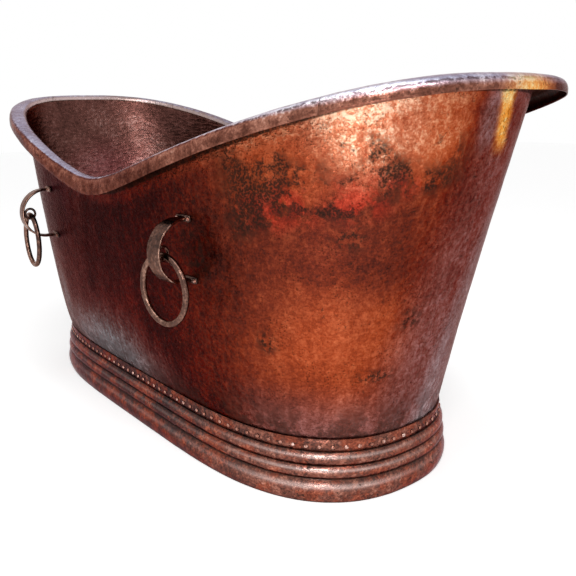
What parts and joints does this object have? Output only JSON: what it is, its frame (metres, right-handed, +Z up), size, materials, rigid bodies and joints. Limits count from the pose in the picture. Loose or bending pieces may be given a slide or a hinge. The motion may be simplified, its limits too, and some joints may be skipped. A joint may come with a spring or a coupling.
{
  "type": "freestanding bathtub",
  "caption": "Freestanding double-ended copper bath with raised ends, a turned-down lip, a riveted band over stepped half-round mouldings, strap handles with hanging pull rings, and a drain.",
  "frame": {"origin": "on the floor under the middle of the bath, at the drain", "axes": "+X along the bath to the right end, +Y to the rear, +Z up"},
  "size_m": [1.7008, 0.8346, 0.819],
  "materials": {
    "copper_wall": "hammered aged copper sheet, red-brown patina, satin",
    "copper_lip": "planished copper, polished edge with a cool sheen",
    "copper_plinth": "planished copper, satin, darker in the joints",
    "copper_rivets": "domed copper rivets, satin",
    "bronze_fittings": "forged dark bronze, rubbed lighter on the edges",
    "drain_brass": "aged brass, satin",
    "seal_rubber": "black rubber",
    "bearer_timber": "planed softwood"
  },
  "bodies": {
    "tub": {"bowl": "copper_wall", "lip_right_end": "copper_lip", "lip_rear": "copper_lip", "lip_left_end": "copper_lip", "lip_front": "copper_lip", "rivet_band": "copper_plinth", "band_rivets": "copper_rivets", "bead_top": "copper_plinth", "bead_middle": "copper_plinth", "bead_bottom": "copper_plinth", "plinth_sheet": "copper_plinth", "foot_ring": "copper_plinth", "bearer_1": "bearer_timber", "bearer_2": "bearer_timber", "bearer_3": "bearer_timber", "bearer_4": "bearer_timber", "handle_strap_front_left": "bronze_fittings", "handle_strap_front_right": "bronze_fittings", "handle_strap_rear_left": "bronze_fittings", "handle_strap_rear_right": "bronze_fittings", "handle_rivets_front_left": "copper_rivets", "handle_rivets_front_right": "copper_rivets", "handle_rivets_rear_left": "copper_rivets", "handle_rivets_rear_right": "copper_rivets", "eyelet_front_left": "bronze_fittings", "eyelet_front_right": "bronze_fittings", "eyelet_rear_left": "bronze_fittings", "eyelet_rear_right": "bronze_fittings", "drain_flange": "drain_brass", "drain_gasket": "seal_rubber", "drain_washer": "drain_brass", "drain_locknut": "drain_brass", "tailpiece": "drain_brass"},
    "ring_front_left": {"pull_ring_front_left": "bronze_fittings"},
    "ring_front_right": {"pull_ring_front_right": "bronze_fittings"},
    "ring_rear_left": {"pull_ring_rear_left": "bronze_fittings"},
    "ring_rear_right": {"pull_ring_rear_right": "bronze_fittings"},
    "stopper": {"stopper_cap": "drain_brass", "stopper_seal": "seal_rubber", "stopper_post": "drain_brass"}
  },
  "joints": [
    {"name": "ring_swing_front_left", "type": "hinge", "parent": "tub", "child": "ring_front_left", "pos_m": [-0.3529, -0.39084, 0.4968], "axis": [-0.9937, 0.1121, 0], "range_deg": [-28, 192]},
    {"name": "ring_swing_front_right", "type": "hinge", "parent": "tub", "child": "ring_front_right", "pos_m": [0.3529, -0.39084, 0.4968], "axis": [-0.9937, -0.1121, 0], "range_deg": [-28, 192]},
    {"name": "ring_swing_rear_left", "type": "hinge", "parent": "tub", "child": "ring_rear_left", "pos_m": [-0.3529, 0.39084, 0.4968], "axis": [0.9937, 0.1121, 0], "range_deg": [-28, 192]},
    {"name": "ring_swing_rear_right", "type": "hinge", "parent": "tub", "child": "ring_rear_right", "pos_m": [0.3529, 0.39084, 0.4968], "axis": [0.9937, -0.1121, 0], "range_deg": [-28, 192]},
    {"name": "stopper_lift", "type": "slide", "parent": "tub", "child": "stopper", "axis": [0, 0, 1], "range_m": [0, 0.009]}
  ]
}
